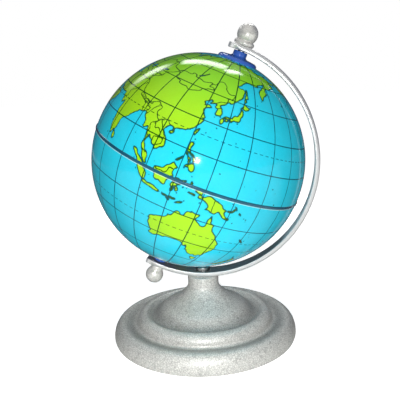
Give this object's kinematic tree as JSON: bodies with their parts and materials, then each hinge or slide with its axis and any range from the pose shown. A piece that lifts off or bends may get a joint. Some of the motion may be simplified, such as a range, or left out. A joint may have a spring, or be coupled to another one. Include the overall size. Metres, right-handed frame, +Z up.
{
  "type": "desktop globe",
  "caption": "Small tinplate world globe that spins on a tilted axle, held by a bent silver arm with ball finials on a round stepped metal base.",
  "frame": {"origin": "centre of the base's underside, on the felt's lower face", "axes": "+Z up; the meridian arm lies in the XZ plane and bows towards +X, the north pole leans towards +X, -Y is the front"},
  "size_m": [0.113, 0.1068, 0.1582],
  "materials": {
    "base_enamel": "silver hammertone",
    "felt": "felt",
    "arm_enamel": "satin silver",
    "screw_plating": "plated",
    "axle_steel": "bright",
    "finial_enamel": "silver hammertone",
    "printed_map": "gloss lacquer",
    "seam_bead": "gloss",
    "collar_blue": "gloss"
  },
  "bodies": {
    "stand": {"base_shell": "base_enamel", "base_felt": "felt", "meridian_arm": "arm_enamel", "arm_screw": "screw_plating", "lock_washer": "screw_plating", "axle_rod": "axle_steel", "top_finial": "finial_enamel", "bottom_finial": "finial_enamel"},
    "globe": {"north_hemisphere": "printed_map", "south_hemisphere": "printed_map", "seam_ring": "seam_bead", "north_collar": "collar_blue", "south_collar": "collar_blue"}
  },
  "joints": [
    {"name": "globe_spin", "type": "hinge", "parent": "stand", "child": "globe", "pos_m": [0, 0, 0.093], "axis": [0.3987, 0, 0.9171], "continuous": true}
  ]
}
